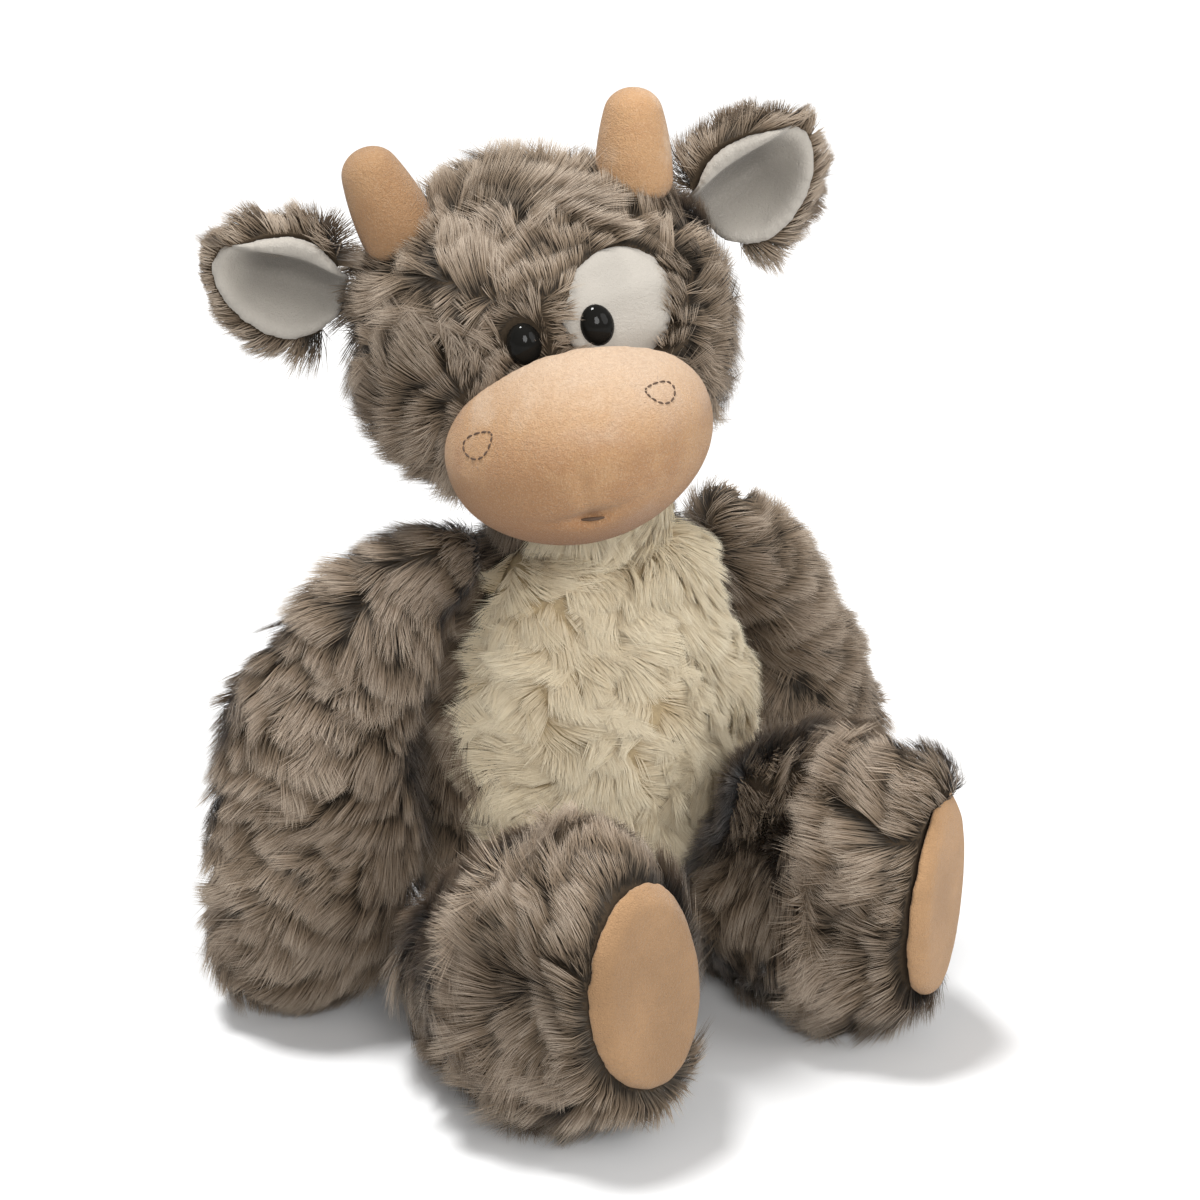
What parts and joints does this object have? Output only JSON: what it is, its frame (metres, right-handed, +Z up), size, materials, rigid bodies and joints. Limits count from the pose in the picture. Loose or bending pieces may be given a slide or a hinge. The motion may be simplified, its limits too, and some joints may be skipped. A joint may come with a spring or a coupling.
{
  "type": "plush cow",
  "caption": "Seated plush cow with shaggy brown fur, a cream belly panel, peach velour muzzle, horns and soles, pale ear linings and a turned head.",
  "frame": {"origin": "on the surface that the toy sits on, under the middle of its torso", "axes": "+Z up through the torso, -Y the way the torso and legs face, +X the toy's own left"},
  "size_m": [0.2541, 0.262, 0.2766],
  "materials": {
    "brown_fur": "long shaggy pile, grey-brown",
    "cream_fur": "curly pile, cream",
    "peach_velour": "short velour, peach",
    "white_velour": "short velour, pale grey",
    "fibre_stuffing": "loose polyester fibre",
    "pellet_bag": "plain woven bag of pellets",
    "black_plastic": "polished",
    "clear_plastic": "natural nylon",
    "brown_thread": "twisted embroidery thread"
  },
  "bodies": {
    "torso": {"torso_cover": "brown_fur", "belly_panel": "cream_fur", "torso_stuffing": "fibre_stuffing", "pellet_bag": "pellet_bag"},
    "neck": {"neck_stuffing": "fibre_stuffing"},
    "head": {"head_cover": "brown_fur", "head_stuffing": "fibre_stuffing", "eye_patch": "white_velour", "left_eye": "black_plastic", "left_eye_washer": "clear_plastic", "right_eye": "black_plastic", "right_eye_washer": "clear_plastic", "muzzle_cover": "peach_velour", "muzzle_stuffing": "fibre_stuffing", "left_nostril_stitch": "brown_thread", "right_nostril_stitch": "brown_thread", "mouth_stitch": "brown_thread", "left_horn_cover": "peach_velour", "left_horn_stuffing": "fibre_stuffing", "right_horn_cover": "peach_velour", "right_horn_stuffing": "fibre_stuffing"},
    "left_ear": {"left_ear_back": "brown_fur", "left_ear_lining": "white_velour"},
    "right_ear": {"right_ear_back": "brown_fur", "right_ear_lining": "white_velour"},
    "left_arm": {"left_arm_cover": "brown_fur", "left_arm_stuffing": "fibre_stuffing"},
    "right_arm": {"right_arm_cover": "brown_fur", "right_arm_stuffing": "fibre_stuffing"},
    "left_leg": {"left_leg_cover": "brown_fur", "left_leg_stuffing": "fibre_stuffing", "left_foot_sole": "peach_velour"},
    "right_leg": {"right_leg_cover": "brown_fur", "right_leg_stuffing": "fibre_stuffing", "right_foot_sole": "peach_velour"},
    "tail": {"tail_cord": "brown_fur", "tail_tuft": "brown_fur"}
  },
  "joints": [
    {"name": "head_turn", "type": "hinge", "parent": "torso", "child": "neck", "pos_m": [0, 0, 0.15], "axis": [0, 0, 1], "range_deg": [-15, 65]},
    {"name": "head_nod", "type": "hinge", "parent": "neck", "child": "head", "pos_m": [0, 0, 0.15], "axis": [-0.8572, 0.515, 0], "range_deg": [-12, 14]},
    {"name": "left_ear_flop", "type": "hinge", "parent": "head", "child": "left_ear", "pos_m": [0.03179, -0.02583, 0.2311], "axis": [-0.5362, 0.3686, 0.7594], "range_deg": [-22, 22], "stiffness_Nm_per_rad": 0.02},
    {"name": "right_ear_flop", "type": "hinge", "parent": "head", "child": "right_ear", "pos_m": [-0.0642, 0.03059, 0.21055], "axis": [0.255, -0.0944, 0.9623], "range_deg": [-22, 22], "stiffness_Nm_per_rad": 0.02},
    {"name": "left_arm_swing", "type": "hinge", "parent": "torso", "child": "left_arm", "pos_m": [0.032, 0, 0.126], "axis": [0.9781, 0, -0.2079], "range_deg": [-35, 45]},
    {"name": "right_arm_swing", "type": "hinge", "parent": "torso", "child": "right_arm", "pos_m": [-0.032, 0, 0.139], "axis": [0.9781, 0, 0.2079], "range_deg": [-18, 45]},
    {"name": "left_leg_lift", "type": "hinge", "parent": "torso", "child": "left_leg", "pos_m": [0.032, 0, 0.048], "axis": [-1, 0, 0], "range_deg": [-10, 12]},
    {"name": "right_leg_lift", "type": "hinge", "parent": "torso", "child": "right_leg", "pos_m": [-0.032, 0, 0.048], "axis": [-1, 0, 0], "range_deg": [-10, 12]},
    {"name": "tail_swing", "type": "hinge", "parent": "torso", "child": "tail", "pos_m": [0, 0.04767, 0.046], "axis": [0, 0, 1], "range_deg": [-25, 25]}
  ]
}
